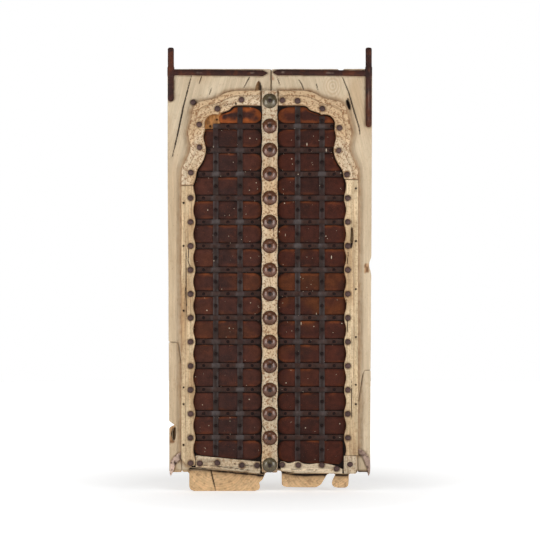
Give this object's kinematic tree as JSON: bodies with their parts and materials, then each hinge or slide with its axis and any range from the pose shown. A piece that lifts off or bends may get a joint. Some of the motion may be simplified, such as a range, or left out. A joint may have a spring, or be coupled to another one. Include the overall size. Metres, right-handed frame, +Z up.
{
  "type": "pair of window shutters",
  "caption": "Pair of old pivot-hung timber window shutters clad with riveted iron plates and straps, with a carved cusped-arch moulding and a bossed centre batten.",
  "frame": {"origin": "under the middle of the closed pair, level with the foot of the left tongue, at mid depth", "axes": "+X to the right and +Z up as seen from the front, +Y from the front to the back"},
  "size_m": [0.667, 0.0934, 1.4427],
  "materials": {
    "timber": "bleached and weathered",
    "plate_iron": "rusty sheet",
    "strap_iron": "worn forged",
    "nail_iron": "forged",
    "pivot_iron": "rusty forged",
    "boss_metal": "dark patina"
  },
  "bodies": {
    "right_leaf": {"right_plank": "timber", "right_corner_board": "timber", "right_arch_moulding": "timber", "right_stile_moulding": "timber", "right_bottom_moulding": "timber", "right_upright_straps": "strap_iron", "right_cross_straps": "strap_iron", "right_strap_nails": "nail_iron", "right_frame_nails": "nail_iron", "right_top_pivot": "pivot_iron", "right_foot_pivot": "pivot_iron", "right_back_ledges": "timber", "right_plate_01": "plate_iron", "right_plate_02": "plate_iron", "right_plate_03": "plate_iron", "right_plate_04": "plate_iron", "right_plate_05": "plate_iron", "right_plate_06": "plate_iron", "right_plate_07": "plate_iron", "right_plate_08": "plate_iron", "right_plate_09": "plate_iron", "right_plate_10": "plate_iron", "right_plate_11": "plate_iron", "right_plate_12": "plate_iron", "right_plate_13": "plate_iron", "right_plate_14": "plate_iron", "right_plate_15": "plate_iron", "right_corner_block": "timber", "centre_batten": "timber", "batten_bosses": "boss_metal", "boss_nails": "nail_iron"},
    "left_leaf": {"left_plank": "timber", "left_corner_board": "timber", "left_arch_moulding": "timber", "left_stile_moulding": "timber", "left_bottom_moulding": "timber", "left_upright_straps": "strap_iron", "left_cross_straps": "strap_iron", "left_strap_nails": "nail_iron", "left_frame_nails": "nail_iron", "left_top_pivot": "pivot_iron", "left_foot_pivot": "pivot_iron", "left_back_ledges": "timber", "left_plate_01": "plate_iron", "left_plate_02": "plate_iron", "left_plate_03": "plate_iron", "left_plate_04": "plate_iron", "left_plate_05": "plate_iron", "left_plate_06": "plate_iron", "left_plate_07": "plate_iron", "left_plate_08": "plate_iron", "left_plate_09": "plate_iron", "left_plate_10": "plate_iron", "left_plate_11": "plate_iron", "left_plate_12": "plate_iron", "left_plate_13": "plate_iron", "left_plate_14": "plate_iron", "left_plate_15": "plate_iron"}
  },
  "joints": [
    {"name": "left_leaf_swing", "type": "hinge", "parent": "right_leaf", "child": "left_leaf", "pos_m": [-0.3215, -0.01033, 0.7], "axis": [0, 0, 1], "range_deg": [0, 100]}
  ]
}
